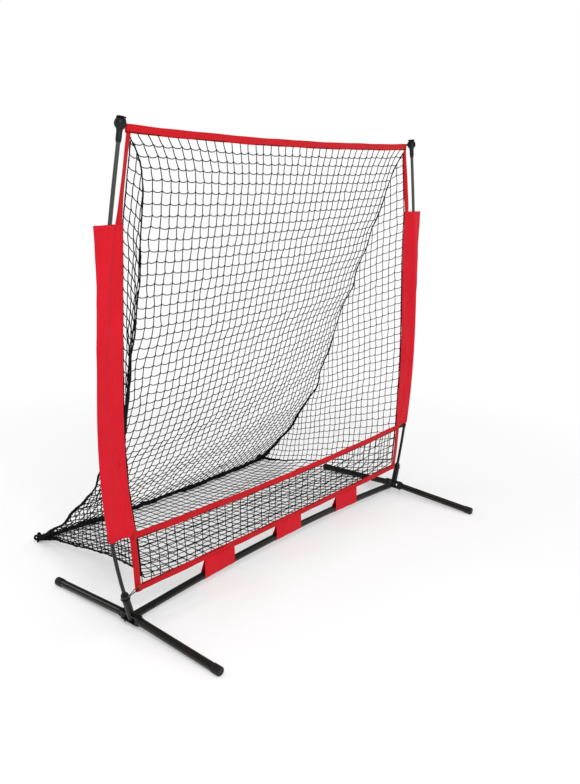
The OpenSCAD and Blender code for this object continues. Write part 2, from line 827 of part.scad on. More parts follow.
steel() placed(-1) crossbar_half();  // crossbar_left
steel() placed(1) crossbar_half();  // crossbar_right
crossbar_joiner();
steel() placed(-1) hub();  // hub_left
steel() placed(1) hub();  // hub_right
plastic() for (side = [-1, 1]) placed(side) socket_liner();  // socket_liners
pivot_bolts();
pivot_washers();
pivot_nuts();
knuckle(-1, -1);  // knuckle_left_front
knuckle(-1, 1);  // knuckle_left_rear
knuckle(1, -1);  // knuckle_right_front
knuckle(1, 1);  // knuckle_right_rear
foot_tube(-1, -1);  // foot_left_front
foot_tube(-1, 1);  // foot_left_rear
foot_tube(1, -1);  // foot_right_front
foot_tube(1, 1);  // foot_right_rear
foot_cap(-1, -1);  // foot_cap_left_front
foot_cap(-1, 1);  // foot_cap_left_rear
foot_cap(1, -1);  // foot_cap_right_front
foot_cap(1, 1);  // foot_cap_right_rear
snap_button(-1);  // snap_button_left
snap_button(1);  // snap_button_right
button_springs();
pole_lower(-1);  // pole_lower_left
pole_lower(1);  // pole_lower_right
pole_upper(-1);  // pole_upper_left
pole_upper(1);  // pole_upper_right
pole_ferrules();
pole_knob(-1);  // pole_knob_left
pole_knob(1);  // pole_knob_right
sleeve(-1);  // sleeve_left
sleeve(1);  // sleeve_right
top_band();
pocket_lip();
bottom_band();
side_band(-1);  // side_band_left
side_band(1);  // side_band_right
tab(-tab_pitch);  // tab_left
tab(0);  // tab_centre
tab(tab_pitch);  // tab_right
corner_eyelets();
lip_strap(-1, sleeve_z0 + 3);  // lip_strap_left
lip_strap(1, sleeve_z0 - strap_h - 4);  // lip_strap_right
top_loop(-1);  // top_loop_left
top_loop(1);  // top_loop_right
bottom_cord(-1);  // bottom_cord_left
bottom_cord(1);  // bottom_cord_right
net_back();
net_side(-1, hang_left);  // net_left
net_side(1, hang_right);  // net_right
net_floor();
net_front();
side_seam(-1, hang_left);  // side_seam_left
side_seam(1, hang_right);  // side_seam_right
floor_seam(-1, hang_left);  // floor_seam_left
floor_seam(1, hang_right);  // floor_seam_right
rear_seam();
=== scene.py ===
"""Looks of the pitching target net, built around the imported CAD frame.

Metres, +Z up, -Y towards the pitcher.
"""

import json
import math
import random
from functools import cache

import bpy
import numpy as np
from mathutils import Matrix, Vector


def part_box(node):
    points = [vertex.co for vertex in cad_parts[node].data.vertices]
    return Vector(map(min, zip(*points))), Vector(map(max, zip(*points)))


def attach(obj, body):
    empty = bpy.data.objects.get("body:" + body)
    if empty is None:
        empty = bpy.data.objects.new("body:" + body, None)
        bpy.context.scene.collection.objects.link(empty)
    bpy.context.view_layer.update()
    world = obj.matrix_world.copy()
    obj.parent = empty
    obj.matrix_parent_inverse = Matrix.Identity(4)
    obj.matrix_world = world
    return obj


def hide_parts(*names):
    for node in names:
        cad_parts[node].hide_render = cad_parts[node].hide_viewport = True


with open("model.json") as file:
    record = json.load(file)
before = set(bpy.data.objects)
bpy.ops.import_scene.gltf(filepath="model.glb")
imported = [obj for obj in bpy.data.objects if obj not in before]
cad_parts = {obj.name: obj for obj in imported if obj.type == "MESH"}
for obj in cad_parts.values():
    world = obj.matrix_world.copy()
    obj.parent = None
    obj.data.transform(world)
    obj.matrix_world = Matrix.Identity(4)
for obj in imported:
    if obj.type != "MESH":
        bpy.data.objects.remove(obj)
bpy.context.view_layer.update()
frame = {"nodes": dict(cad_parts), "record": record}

SEED = 7
RNG = random.Random(SEED)
NOISE = np.random.default_rng(SEED)
MM = 0.001
SIDES = {"left": -1, "right": 1}

# -------- reading the CAD frame


@cache
def node_edges(node):
    """Both ends of every edge of a CAD node, as two arrays of points."""
    mesh = frame["nodes"][node].data
    co = np.array([v.co for v in mesh.vertices], float)
    ends = np.array([e.vertices for e in mesh.edges], int)
    return co[ends[:, 0]], co[ends[:, 1]]


def cut(node, axis, value):
    """Points where a CAD node's edges cross a plane square to an axis."""
    a, b = node_edges(node)
    da, db = a[:, axis] - value, b[:, axis] - value
    hit = (da * db) <= 0
    a, b, da, db = a[hit], b[hit], da[hit], db[hit]
    gap = np.where(np.abs(da - db) < 1e-9, 1.0, da - db)
    t = np.clip(da / gap, 0, 1)[:, None]
    return a + (b - a) * t


def middle(node, axis, value):
    """Middle of a CAD node's section square to an axis."""
    points = cut(node, axis, value)
    return (points.min(0) + points.max(0)) / 2


def extent(node, axis, value, way):
    """Size of a CAD node's section square to an axis, one way."""
    return float(np.ptp(cut(node, axis, value)[:, way]))


def corners(node):
    """Low and high corners of a CAD node's box, as arrays."""
    return tuple(np.array(c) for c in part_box(node))


def centre_line(node, axis, count, ends):
    """Centre line of a long CAD node, as an array of points from its low end to its high end."""
    low, high = corners(node)
    values = low[axis] + (high[axis] - low[axis]) * np.linspace(ends[0], ends[1], count)
    return np.array([middle(node, axis, v) for v in values])


def distances(path):
    """Distance along a path at each of its points."""
    step = np.linalg.norm(np.diff(path, axis=0), axis=1)
    return np.concatenate([[0], np.cumsum(step)])


def path_length(path):
    return float(distances(path)[-1])


def resample(path, count):
    """A path with count points at equal distances."""
    path = np.asarray(path, float)
    along = distances(path)
    wanted = np.linspace(0, along[-1], count)
    return np.stack([np.interp(wanted, along, path[:, k]) for k in range(3)], axis=1)


def unit(vectors):
    """Vectors scaled to length 1."""
    return vectors / np.linalg.norm(vectors, axis=-1, keepdims=True)


# -------- mesh building


def link(name, data):
    """New object in the scene."""
    obj = bpy.data.objects.new(name, data)
    bpy.context.collection.objects.link(obj)
    return obj


class Build:
    """Collects vertices and faces, then becomes one mesh object."""

    def __init__(self):
        self.verts, self.faces, self.count = [], [], 0

    def add(self, verts, faces):
        verts = np.asarray(verts, float)
        self.verts.append(verts)
        self.faces.extend([tuple(i + self.count for i in f) for f in faces])
        self.count += len(verts)

    def make(self, name, material):
        mesh = bpy.data.meshes.new(name)
        mesh.from_pydata(np.concatenate(self.verts).tolist(), [], self.faces)
        mesh.validate()
        mesh.update()
        mesh.materials.append(material)
        mesh.polygons.foreach_set("use_smooth", [True] * len(mesh.polygons))
        return link(name, mesh)


def path_frames(path):
    """Side and normal at each point of a path, turning as little as possible along it."""
    tangents = unit(np.gradient(path, axis=0))
    guide = np.array([0.12, 0.35, 0.93])
    sides = []
    for t in tangents:
        side = np.cross(t, guide)
        if np.linalg.norm(side) < 1e-3:
            side = np.cross(t, (1.0, 0.2, 0.1))
        sides.append(unit(side))
        guide = np.cross(sides[-1], t)
    sides = np.array(sides)
    return sides, np.cross(sides, tangents)


def ring_faces(rings, n, closed=False):
    """Faces of a skin over rings of n points; closed joins the last ring to the first."""
    last = rings if closed else rings - 1
    return [
        (r * n + k, r * n + (k + 1) % n, ((r + 1) % rings) * n + (k + 1) % n, ((r + 1) % rings) * n + k)
        for r in range(last)
        for k in range(n)
    ]


def add_tube(build, path, radius, sides=6, closed=False):
    """Round tube along a path; radius is one number or one for each point."""
    path = np.asarray(path, float)
    radius = np.broadcast_to(np.asarray(radius, float), len(path))
    side, normal = path_frames(path)
    angle = (np.arange(sides) * math.tau / sides)[:, None]
    section = np.cos(angle) * side[:, None] + np.sin(angle) * normal[:, None]
    add_loft(build, path[:, None] + radius[:, None, None] * section, closed)


def add_loft(build, rings, closed=False):
    """Skin over rings of equal length, with a face over each end unless it is closed."""
    rings = np.asarray(rings, float)
    n, k = rings.shape[:2]
    faces = ring_faces(n, k, closed)
    if not closed:
        faces.append(tuple(range(k))[::-1])
        faces.append(tuple((n - 1) * k + i for i in range(k)))
    build.add(rings.reshape(-1, 3), faces)


def band_section(width, thick):
    """Outline of a webbing section, width along its first axis, with rounded edges."""
    w, t = width / 2, thick / 2
    c = t * 0.6
    full = t * 1.02
    half = np.array([(-w, c - t), (c - w, -t), (-w / 3, -full), (w / 3, -full), (w - c, -t), (w, c - t)])
    return np.vstack([half, -half])


def add_band(build, path, width, thick, across):
    """Flat band along a path. across is the width's direction: one vector, or one for each point."""
    across = np.broadcast_to(np.asarray(across, float), path.shape)
    tangents = unit(np.gradient(path, axis=0))
    wide = unit(across - (across * tangents).sum(1)[:, None] * tangents)
    normal = np.cross(tangents, wide)
    width = np.broadcast_to(np.asarray(width, float), len(path))
    rings = []
    for p, a, b, w in zip(path, wide, normal, width):
        section = band_section(w, thick)
        rings.append(p + section[:, :1] * a + section[:, 1:] * b)
    add_loft(build, rings)


STITCH_PITCH, STITCH_L, STITCH_W = 5.2 * MM, 3.6 * MM, 0.75 * MM


def add_stitches(build, path, out):
    """Row of thread stitches lying on a surface whose normal is out."""
    count = max(2, int(path_length(path) / STITCH_PITCH))
    points = resample(path, 2 * count + 1)
    n = unit(np.array(out, float))
    faces = [(0, 2, 3), (0, 3, 4), (0, 4, 5), (0, 5, 2), (1, 3, 2), (1, 4, 3), (1, 5, 4), (1, 2, 5)]
    for a, b in zip(points[:-1:2], points[1::2]):
        c, d = (a + b) / 2, unit(b - a) * STITCH_L / 2
        s = np.cross(unit(d), n) * STITCH_W / 2
        h = n * STITCH_W * 0.45
        build.add([c - d, c + d, c + s, c + h, c - s, c - h], faces)


# -------- materials


class Nodes:
    """Short forms for building a material's node tree."""

    def __init__(self, name):
        self.material = bpy.data.materials.new(name)
        self.material.use_nodes = True
        self.tree = self.material.node_tree
        self.shader = self.tree.nodes["Principled BSDF"]
        self.coords = self.new("ShaderNodeTexCoord").outputs["Object"]

    def new(self, kind, **inputs):
        made = self.tree.nodes.new(kind)
        for key, value in inputs.items():
            self.put(made.inputs[key.replace("_", " ")], value)
        return made

    def put(self, socket, value):
        if isinstance(value, bpy.types.NodeSocket):
            self.tree.links.new(value, socket)
        else:
            socket.default_value = value

    def noise(self, scale, detail=3.0, rough=0.55, stretch=None):
        vector = self.coords
        if stretch is not None:
            vector = self.new("ShaderNodeMapping", Vector=vector, Scale=stretch).outputs["Vector"]
        made = self.new("ShaderNodeTexNoise", Vector=vector, Scale=scale, Detail=detail, Roughness=rough)
        return made.outputs["Fac"]

    def wave(self, scale, axis, distortion=0.0):
        made = self.new("ShaderNodeTexWave", Vector=self.coords, Scale=scale, Distortion=distortion)
        made.wave_type = "BANDS"
        made.bands_direction = axis
        return made.outputs["Fac"]

    def math(self, operation, a, b=0.0):
        made = self.tree.nodes.new("ShaderNodeMath")
        made.operation = operation
        self.put(made.inputs[0], a)
        self.put(made.inputs[1], b)
        return made.outputs[0]

    def ramp(self, factor, low, high, low_at=0.0, high_at=1.0):
        made = self.tree.nodes.new("ShaderNodeValToRGB")
        self.put(made.inputs["Fac"], factor)
        ends = made.color_ramp.elements
        ends[0].position, ends[1].position = low_at, high_at
        ends[0].color, ends[1].color = low, high
        return made.outputs["Color"]

    def mix(self, factor, a, b, blend="MIX"):
        made = self.tree.nodes.new("ShaderNodeMix")
        made.data_type = "RGBA"
        made.blend_type = blend
        self.put(made.inputs["Factor"], factor)
        self.put(made.inputs[6], a)
        self.put(made.inputs[7], b)
        return made.outputs[2]

    def range(self, value, low, high):
        return self.new("ShaderNodeMapRange", Value=value, To_Min=low, To_Max=high).outputs["Result"]

    def bump(self, height, strength, distance, normal=None):
        made = self.new("ShaderNodeBump", Height=height, Strength=strength, Distance=distance)
        if normal is not None:
            self.put(made.inputs["Normal"], normal)
        return made.outputs["Normal"]

    def surface(self, **inputs):
        for key, value in inputs.items():
            self.put(self.shader.inputs[key.replace("_", " ")], value)
        return self.material


def rgb(r, g, b):
    """A colour given as it looks on screen, 0 to 255."""

    def linear(c):
        c = c / 255
        return c / 12.92 if c <= 0.04045 else ((c + 0.055) / 1.055) ** 2.4

    return (linear(r), linear(g), linear(b), 1.0)


def wave_scale(pitch):
    """Scale of a wave texture whose bands repeat about every second thread of a pitch."""
    return 1 / pitch / math.tau


def woven_cloth(name, dark, light, thread, sheen, rough=0.62):
    """Plain-weave cloth: crossing threads with painted shade in the hollows of the weave, soft mottling and
    a light sheen.
    """
    n = Nodes(name)
    warp = n.wave(wave_scale(thread), "X", 0.15)
    weft = n.wave(wave_scale(thread), "Z", 0.15)
    weave = n.math("MULTIPLY", n.math("ADD", warp, weft), 0.5)
    mottle = n.noise(9.0, 4.0)
    fine = n.noise(140.0, 3.0, stretch=(1.0, 1.0, 0.25))
    base = n.mix(mottle, dark, light)
    # Painted shade: the colour is darkened where the weave is low, in the hollows between threads that the
    # bump sinks; random fine tone is multiplied in too
    shade = n.range(weave, 0.86, 1.06)
    weave_shade_and_tone = n.tree.nodes.new("ShaderNodeCombineColor")
    for channel in ("Red", "Green", "Blue"):
        n.put(weave_shade_and_tone.inputs[channel], n.math("MULTIPLY", shade, n.range(fine, 0.92, 1.08)))
    colour = n.mix(1.0, base, weave_shade_and_tone.outputs["Color"], "MULTIPLY")
    creases = n.bump(n.noise(26.0, 3.0, stretch=(1.0, 1.0, 0.35)), 0.18, 4 * MM)
    normal = n.bump(weave, 0.35, 0.35 * MM, creases)
    return n.surface(
        Base_Color=colour, Roughness=n.range(fine, rough - 0.06, rough + 0.08), Normal=normal,
        Sheen_Weight=sheen, Sheen_Roughness=0.45, Sheen_Tint=light, Specular_IOR_Level=0.16,
    )


def webbing(name, dark, light, axis, rib=1.6 * MM, rough=0.6):
    """Ribbed webbing or bound edge tape."""
    n = Nodes(name)
    ribs = n.wave(wave_scale(rib), axis, 0.4)
    cross = n.wave(1 / rib / 4.0, "DIAGONAL", 0.4)
    mottle = n.noise(14.0, 4.0)
    colour = n.mix(n.math("MULTIPLY", ribs, 0.35), n.mix(mottle, dark, light), dark)
    height = n.math("ADD", ribs, n.math("MULTIPLY", cross, 0.5))
    normal = n.bump(height, 0.5, 0.4 * MM, n.bump(n.noise(40.0), 0.15, 3 * MM))
    return n.surface(
        Base_Color=colour, Roughness=n.range(mottle, rough - 0.05, rough + 0.1), Normal=normal,
        Sheen_Weight=0.05, Sheen_Roughness=0.5, Specular_IOR_Level=0.12,
    )


def powder_coat(name, colour, worn, rough=0.42):
    """Black paint on steel: orange-peel texture, dust and slight rubbing."""
    n = Nodes(name)
    peel = n.noise(900.0, 2.0)
    dust = n.noise(18.0, 5.0)
    scuff = n.ramp(n.noise(60.0, 6.0, 0.7, (1.0, 1.0, 6.0)), (0, 0, 0, 1), (1, 1, 1, 1), 0.62, 0.8)
    base = n.mix(n.math("MULTIPLY", scuff, 0.25), n.mix(n.range(dust, 0, 0.5), colour, worn), worn)
    normal = n.bump(peel, 0.12, 0.15 * MM, n.bump(dust, 0.05, 0.5 * MM))
    return n.surface(
        Base_Color=base, Roughness=n.range(dust, rough - 0.06, rough + 0.14), Normal=normal,
        Coat_Weight=0.4, Coat_Roughness=0.12, Specular_IOR_Level=0.18,
    )


def moulded(name, colour, pale, rough=0.5):
    """Moulded plastic with a fine spark-eroded grain."""
    n = Nodes(name)
    grain = n.noise(1400.0, 2.0)
    cloud = n.noise(30.0, 4.0)
    base = n.mix(n.range(cloud, 0, 0.5), colour, pale)
    normal = n.bump(grain, 0.2, 0.12 * MM)
    return n.surface(
        Base_Color=base, Roughness=n.range(cloud, rough - 0.05, rough + 0.1), Normal=normal,
        Specular_IOR_Level=0.3,
    )


def glass_fibre(name):
    """Pultruded rod: fine lengthwise fibres under a clear gloss."""
    n = Nodes(name)
    fibres = n.noise(420.0, 4.0, 0.6, (1.0, 1.0, 0.03))
    cloud = n.noise(12.0, 3.0)
    base = n.mix(fibres, rgb(30, 32, 32), rgb(66, 69, 69))
    base = n.mix(n.range(cloud, 0, 0.35), base, rgb(44, 46, 46))
    return n.surface(
        Base_Color=base, Roughness=n.range(fibres, 0.3, 0.45), Normal=n.bump(fibres, 0.2, 0.15 * MM),
        Coat_Weight=0.3, Coat_Roughness=0.15,
    )


def plated(name, dark, light, rough=0.35):
    """Plated metal with brushed streaks and dull spots."""
    n = Nodes(name)
    streaks = n.noise(500.0, 3.0, 0.6, (1.0, 1.0, 0.1))
    spots = n.noise(90.0, 5.0)
    base = n.mix(n.math("MULTIPLY", spots, 0.8), light, dark)
    return n.surface(
        Base_Color=base, Metallic=1.0, Roughness=n.range(streaks, rough - 0.1, rough + 0.2),
        Normal=n.bump(streaks, 0.2, 0.1 * MM),
    )


def twine(name, dark, light, lay=3.0 * MM, rough=0.6):
    """Twisted polyethylene twine or braided cord."""
    n = Nodes(name)
    lays = n.wave(wave_scale(lay), "DIAGONAL", 1.5)
    fuzz = n.noise(700.0, 3.0)
    base = n.mix(n.math("MULTIPLY", lays, fuzz), dark, light)
    return n.surface(
        Base_Color=base, Roughness=n.range(fuzz, rough - 0.1, rough + 0.15), Specular_IOR_Level=0.08,
        Normal=n.bump(lays, 0.7, 0.4 * MM, n.bump(fuzz, 0.2, 0.2 * MM)),
    )


RED = woven_cloth("red_polyester", rgb(196, 10, 28), rgb(218, 20, 42), 0.7 * MM, 0.08)
RED_TAPE = webbing("red_tape", rgb(178, 8, 20), rgb(204, 14, 28), "X")
RED_SIDE_TAPE = webbing("red_side_tape", rgb(178, 8, 20), rgb(204, 14, 28), "Z")
RED_THREAD = twine("red_thread", rgb(130, 6, 16), rgb(176, 18, 32), 1.0 * MM)
STEEL = powder_coat("black_powder_coat", rgb(9, 9, 8), rgb(26, 26, 23))
PLASTIC = moulded("black_moulding", rgb(14, 15, 15), rgb(30, 32, 32))
FIBRE = glass_fibre("glass_fibre_rod")
ZINC = plated("zinc_plate", rgb(40, 40, 42), rgb(72, 72, 74), 0.5)
BRASS = plated("antique_brass", rgb(96, 66, 30), rgb(176, 136, 76), 0.32)
NET = twine("net_twine", rgb(5, 5, 5), rgb(18, 18, 18))
ROPE = twine("seam_rope", rgb(4, 4, 4), rgb(16, 16, 16), 4.0 * MM)
CORD = twine("elastic_cord", rgb(8, 8, 8), rgb(30, 30, 30), 1.6 * MM)
BLACK_WEB = webbing("black_webbing", rgb(10, 10, 10), rgb(28, 28, 28), "Z")

SLOT_LOOKS = {
    "black_steel": STEEL, "glassfibre": FIBRE, "zinc_steel": ZINC, "black_plastic": PLASTIC,
    "brass_eyelet": BRASS, "red_fabric": RED, "black_webbing": BLACK_WEB, "black_netting": NET,
}


def finish_cad_nodes():
    """Gives each CAD node the material of its slot."""
    for part in frame["record"]["subparts"]:
        obj = frame["nodes"][part["node"]]
        look = SLOT_LOOKS[part["material_slot"]]
        if not obj.material_slots:
            obj.data.materials.append(look)
        for s in obj.material_slots:
            s.material = look


# -------- places taken from the frame

FRAME_Y = middle("crossbar_joiner", 0, 0.0)[1]
TOP_HIGH = corners("top_band")[1]
BAND_Y = middle("bottom_band", 0, 0.0)[1]
BAND_H = extent("top_band", 0, 0.0, 2)
BAND_T = extent("top_band", 0, 0.0, 1)
GROUND_CLEAR = 4 * MM


def soft_piece(build, name, look, slot, *nodes):
    """Makes a soft piece that rides on the frame, in place of its CAD nodes. The slot argument is not used.
    """
    obj = build.make(name, look)
    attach(obj, "frame")
    if nodes:
        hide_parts(*nodes)
    return obj


def thread_piece(name, rows):
    """Makes the stitches of a piece from rows, each a path and the normal of the cloth under it."""
    build = Build()
    for path, out in rows:
        add_stitches(build, path, out)
    soft_piece(build, name, RED_THREAD, "red_fabric")


# -------- netting

# Side of one mesh square, and how much the net is gathered down its height and across its side panels
CELL = 38 * MM
ROW_GATHER = 1.13
SIDE_GATHER = 1.35
TWINE_R = 1.55 * MM
# How far knots stray from a regular grid
KNOT_STRAY = 1.2 * MM
# Depth of the floor panel, and mesh rows of the front one
FLOOR_RUN = 0.74
FRONT_ROWS = 5
# Share by which a panel's cloth is longer than the panel, and the limit of its sag
LOOSE = {
    "back": (0.01, 16 * MM), "left": (0.03, 24 * MM), "right": (0.015, 24 * MM),
    "floor": (0.01, 14 * MM), "front": (0.015, 14 * MM),
}
CLOTH = {
    "quality": 5, "mass": 0.12, "tension_stiffness": 12, "compression_stiffness": 4,
    "shear_stiffness": 1.0, "bending_stiffness": 0.02, "tension_damping": 12, "compression_damping": 12,
    "air_damping": 4, "vertex_group_mass": "pins", "pin_stiffness": 5,
}


def coons(top, bottom, left, right):
    """Surface through four border paths: two run left to right and two run top to bottom."""
    u = np.linspace(0, 1, len(top))[None, :, None]
    v = np.linspace(0, 1, len(left))[:, None, None]
    across = (1 - v) * top[None] + v * bottom[None]
    down = (1 - u) * left[:, None] + u * right[:, None]
    flat = (1 - v) * ((1 - u) * top[0] + u * top[-1]) + v * ((1 - u) * bottom[0] + u * bottom[-1])
    return across + down - flat


def sample(surface, v, u):
    """Point of a surface grid at v (down) and u (across), both 0 to 1."""
    rows, columns = surface.shape[:2]
    y = np.clip(v, 0, 1) * (rows - 1)
    x = np.clip(u, 0, 1) * (columns - 1)
    i, j = min(int(y), rows - 2), min(int(x), columns - 2)
    a, b = y - i, x - j
    return (
        surface[i, j] * (1 - a) * (1 - b) + surface[i, j + 1] * (1 - a) * b
        + surface[i + 1, j] * a * (1 - b) + surface[i + 1, j + 1] * a * b
    )


def add_square(name, half, z):
    """Level square round the origin."""
    mesh = bpy.data.meshes.new(name)
    ends = ((-half, -half, z), (half, -half, z), (half, half, z), (-half, half, z))
    mesh.from_pydata(ends, [], [(0, 1, 2, 3)])
    return link(name, mesh)


def drape(panels, frames=26):
    """Cloth simulation of net panels pinned along their borders, over the ground."""
    scene = bpy.context.scene
    floor = add_square("drape_ground", 3.0, GROUND_CLEAR)
    floor.modifiers.new("hit", "COLLISION")
    floor.collision.thickness_outer = 0.002
    cloths = []
    for name, surface in panels.items():
        rows, columns = surface.shape[:2]
        number = np.arange(rows * columns).reshape(rows, columns)
        squares = (number[:-1, :-1], number[:-1, 1:], number[1:, 1:], number[1:, :-1])
        faces = np.stack(squares, axis=-1).reshape(-1, 4)
        mesh = bpy.data.meshes.new(f"drape_{name}")
        mesh.from_pydata(surface.reshape(-1, 3).tolist(), [], faces.tolist())
        obj = link(f"drape_{name}", mesh)
        pins = obj.vertex_groups.new(name="pins")
        border = np.concatenate([number[0], number[-1], number[1:-1, 0], number[1:-1, -1]])
        pins.add(border.tolist(), 1.0, "REPLACE")
        cloth = obj.modifiers.new("cloth", "CLOTH")
        for key, value in CLOTH.items():
            setattr(cloth.settings, key, value)
        cloth.settings.shrink_min = -LOOSE[name][0]
        cloth.collision_settings.use_self_collision = False
        cloth.collision_settings.distance_min = 0.004
        cloth.point_cache.frame_start, cloth.point_cache.frame_end = 1, frames
        cloths.append(obj)
    scene.frame_start, scene.frame_end = 1, frames
    for f in range(1, frames + 1):
        scene.frame_set(f)
    graph = bpy.context.evaluated_depsgraph_get()
    draped = {}
    for obj, (name, surface) in zip(cloths, panels.items()):
        cap = LOOSE[name][1]
        mesh = obj.evaluated_get(graph).to_mesh()
        co = np.empty(len(mesh.vertices) * 3)
        mesh.vertices.foreach_get("co", co)
        sag = co.reshape(surface.shape) - surface
        draped[name] = surface + sag * (cap / (cap + np.linalg.norm(sag, axis=2, keepdims=True)))
    for obj in cloths + [floor]:
        bpy.data.objects.remove(obj)
    scene.frame_set(1)
    return draped


def strand(build, points, droop, sag_dir):
    """One line of twine through its knots, hanging slack between them."""
    points = [points[0]] + [p for q, p in zip(points[:-1], points[1:]) if np.linalg.norm(p - q) > MM]
    if len(points) < 2:
        return
    path = [points[0]]
    for a, b in zip(points[:-1], points[1:]):
        length = np.linalg.norm(b - a)
        for t in (0.3, 0.7):
            path.append(a + (b - a) * t + sag_dir * droop * length * 4 * t * (1 - t))
        path.append(b)
    add_tube(build, path, TWINE_R, 5)


# A knot is a small icosahedron, stretched and turned at random
GOLDEN = (1 + 5 ** 0.5) / 2
KNOT_VERTS = unit(np.array([
    (-1, GOLDEN, 0), (1, GOLDEN, 0), (-1, -GOLDEN, 0), (1, -GOLDEN, 0),
    (0, -1, GOLDEN), (0, 1, GOLDEN), (0, -1, -GOLDEN), (0, 1, -GOLDEN),
    (GOLDEN, 0, -1), (GOLDEN, 0, 1), (-GOLDEN, 0, -1), (-GOLDEN, 0, 1),
]))
KNOT_FACES = [
    (0, 11, 5), (0, 5, 1), (0, 1, 7), (0, 7, 10), (0, 10, 11),
    (1, 5, 9), (5, 11, 4), (11, 10, 2), (10, 7, 6), (7, 1, 8),
    (3, 9, 4), (3, 4, 2), (3, 2, 6), (3, 6, 8), (3, 8, 9),
    (4, 9, 5), (2, 4, 11), (6, 2, 10), (8, 6, 7), (9, 8, 1),
]


# Smallest and largest half sizes of a knot along its axes, in mm
KNOT_SIZES = ((2.3, 3.0), (2.0, 2.7), (2.7, 3.6))


def add_knot(build, point):
    size = np.array([RNG.uniform(*span) for span in KNOT_SIZES]) * MM
    turn = Matrix.Rotation(RNG.uniform(0, 3.14), 3, "Y") @ Matrix.Rotation(RNG.uniform(0, 3.14), 3, "Z")
    build.add((KNOT_VERTS * size) @ np.array(turn).T + point, KNOT_FACES)


def net_panel(name, surface, columns, rows, droop=(0.15, 0.05), runs=None):
    """A square-hung panel of knotted twine, in place of its CAD net.

    droop is how far its rows and its columns hang slack between knots, as a share of a mesh. runs is for a
    panel with a slanted edge: how far across it goes, 0 to 1, from its top to its bottom.
    """

    def run(v):
        return 1.0 if runs is None else float(np.interp(v, np.linspace(0, 1, len(runs)), runs))

    build = Build()
    knots = {}
    for r in range(rows + 1):
        limit = run(r / rows)
        for c in range(columns + 1):
            u = c / columns
            if u > limit + 1e-6:
                break
            point = sample(surface, r / rows, u / max(limit, 1e-6))
            inside = 0 < r < rows and 0 < c and u < limit - 1e-6
            knots[r, c] = point + (NOISE.normal(0, KNOT_STRAY, 3) if inside else 0)
    for r in range(rows + 1):
        line = [knots[r, c] for c in range(columns + 1) if (r, c) in knots]
        if runs is not None and 0 < r < rows:
            line.append(sample(surface, r / rows, 1.0))
        if len(line) > 1:
            strand(build, line, droop[0] if 0 < r < rows else 0.0, np.array([0, 0, -1.0]))
    for c in range(columns + 1):
        line = [knots[r, c] for r in range(rows + 1) if (r, c) in knots]
        if runs is not None and 0 < len(line) < rows + 1:
            # The column starts on the slanted edge, found by halving the row above its first knot
            first = min(r for r in range(rows + 1) if (r, c) in knots)
            low, high = (first - 1) / rows, first / rows
            for _ in range(12):
                half = (low + high) / 2
                low, high = (half, high) if run(half) < c / columns else (low, half)
            line.insert(0, sample(surface, high, 1.0))
        if len(line) > 1:
            strand(build, line, droop[1], np.array([RNG.choice((-1, 1)) * 0.6, 0.4, 0]))
    for point in knots.values():
        add_knot(build, point)
    soft_piece(build, f"net_{name}_twine", NET, "black_netting", f"net_{name}")


def floor_corner(side):
    """Front end of the rope along a side panel's lower edge."""
    node = f"floor_seam_{side}"
    return middle(node, 1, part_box(node)[0][1] + 2 * MM)


def net_edge(side, count):
    """Line just inside a side band, where the net is laced on, from the top down."""
    node, sign = f"side_band_{side}", SIDES[side]
    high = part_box(node)[1]
    line = []
    for z in np.linspace(high[2] - 8 * MM, floor_corner(side)[2], count):
        inner = np.abs(cut(node, 2, z)[:, 0]).min() - 4.5 * MM
        line.append([sign * inner, middle(node, 2, z)[1] + 2 * MM, z])
    return np.array(line)


def ruffled(path, amount, period=80 * MM):
    """A path pushed off its line by soft random waves, with both ends kept."""
    along = distances(path)
    count = max(4, int(along[-1] / period))
    marks = np.linspace(0, along[-1], count)
    fade = np.sin(math.pi * along / along[-1]).clip(0, 1) ** 0.4
    for axis in range(3):
        path[:, axis] += fade * np.interp(along, marks, NOISE.normal(0, amount, count))
    path[:, 2] = np.maximum(path[:, 2], GROUND_CLEAR + TWINE_R)
    return path


def border_lines():
    """Border paths of the net panels, read from the CAD bands and seams."""
    top = centre_line("top_band", 0, 33, (0.004, 0.996)) - [0, 0, BAND_H / 2 - 2 * MM]
    rear = centre_line("rear_seam", 0, 33, (0.001, 0.999))
    low = centre_line("bottom_band", 0, 33, (0.002, 0.998)) + [0, 0, BAND_H / 2 - 3 * MM]
    lip = centre_line("pocket_lip", 0, 33, (0.002, 0.998)) - [0, 0, BAND_H / 2 - 3 * MM]
    lines = {"top": top, "rear": rear, "low": low, "lip": lip}
    for side, sign in SIDES.items():
        end = -1 if sign > 0 else 0
        tip, corner = rear[end], top[end]
        seam = centre_line(f"side_seam_{side}", 2, 60, (0.001, 0.999))[::-1]
        lines[f"seam_{side}"] = ruffled(np.vstack([corner, seam, tip]), 7 * MM)
        band = net_edge(side, 60)
        lines[f"band_{side}"] = np.vstack([corner, band])
        floor = centre_line(f"floor_seam_{side}", 1, 40, (0.001, 0.999))
        lines[f"floor_{side}"] = ruffled(np.vstack([band[-1], floor, tip]), 4 * MM)
    return lines


